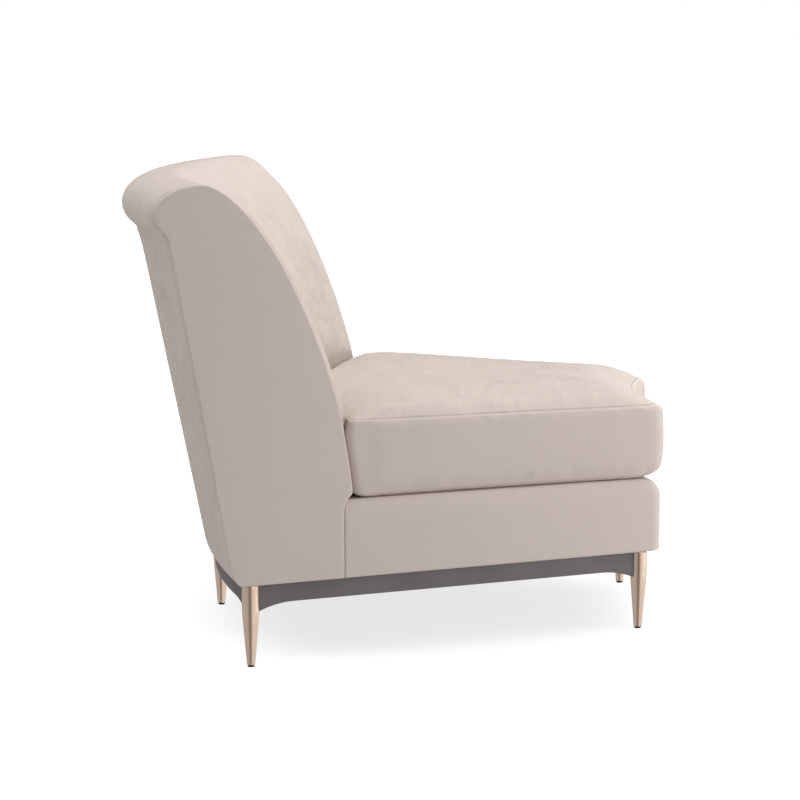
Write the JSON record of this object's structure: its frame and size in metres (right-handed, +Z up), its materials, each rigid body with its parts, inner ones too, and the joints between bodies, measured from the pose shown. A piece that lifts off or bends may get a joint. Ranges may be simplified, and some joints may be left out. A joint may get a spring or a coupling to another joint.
{
  "type": "slipper chair",
  "caption": "Armless wedge-shaped slipper chair: a curved back that rolls over at the top, a loose boxed seat cushion, an apron and slim tapered metal legs.",
  "frame": {"origin": "on the floor, at the centre of the chair's bounding box seen from above", "axes": "+Z up, +Y towards the back, +X towards the sitter's left"},
  "size_m": [1.102, 1.0237, 0.8646],
  "materials": {
    "seat_fabric": "light beige short-pile velvet with swept marks",
    "panel_fabric": "light beige fine velvet, smoother",
    "apron_paint": "dark taupe satin lacquer",
    "leg_metal": "soft champagne satin",
    "glide_plastic": "near-black matte",
    "plywood": "bare birch plywood",
    "hardwood": "bare planed hardwood",
    "hardware_steel": "zinc-plated",
    "webbing": "woven elastic tape",
    "felt": "pressed grey felt",
    "dust_cloth": "black non-woven cloth",
    "foam": "cream open-cell foam"
  },
  "bodies": {
    "chair": {"leg_rear_right": "leg_metal", "glide_rear_right": "glide_plastic", "leg_bolt_rear_right": "hardware_steel", "leg_rear_left": "leg_metal", "glide_rear_left": "glide_plastic", "leg_bolt_rear_left": "hardware_steel", "leg_rear_center": "leg_metal", "glide_rear_center": "glide_plastic", "leg_bolt_rear_center": "hardware_steel", "leg_front_right": "leg_metal", "glide_front_right": "glide_plastic", "leg_bolt_front_right": "hardware_steel", "leg_front_left": "leg_metal", "glide_front_left": "glide_plastic", "leg_bolt_front_left": "hardware_steel", "side_panel_right": "panel_fabric", "side_panel_left": "panel_fabric", "base_cover": "panel_fabric", "outside_back_cover": "panel_fabric", "inside_back_pad": "seat_fabric", "apron_right": "apron_paint", "apron_left": "apron_paint", "apron_rear_right": "apron_paint", "apron_rear_left": "apron_paint", "apron_front": "apron_paint", "side_frame_right": "plywood", "side_frame_left": "plywood", "back_rib": "plywood", "corner_block_front_right": "hardwood", "corner_block_rear_right": "hardwood", "corner_block_front_left": "hardwood", "corner_block_rear_left": "hardwood", "front_rail": "hardwood", "rear_rail": "hardwood", "seat_rail": "hardwood", "lower_back_rail": "hardwood", "middle_back_rail": "hardwood", "scroll_rail": "hardwood", "back_webbing_1": "webbing", "back_webbing_2": "webbing", "back_webbing_3": "webbing", "back_webbing_4": "webbing", "back_webbing_5": "webbing", "seat_spring_1": "hardware_steel", "seat_spring_2": "hardware_steel", "seat_spring_3": "hardware_steel", "seat_spring_4": "hardware_steel", "seat_spring_5": "hardware_steel", "deck_pad": "felt", "dust_cover": "dust_cloth"},
    "seat_cushion": {"cushion_cover": "seat_fabric", "cushion_foam": "foam", "cushion_zip": "webbing"}
  },
  "joints": [
    {"name": "cushion_lift", "type": "slide", "parent": "chair", "child": "seat_cushion", "axis": [0, 0, 1], "range_m": [0, 0.6]}
  ]
}
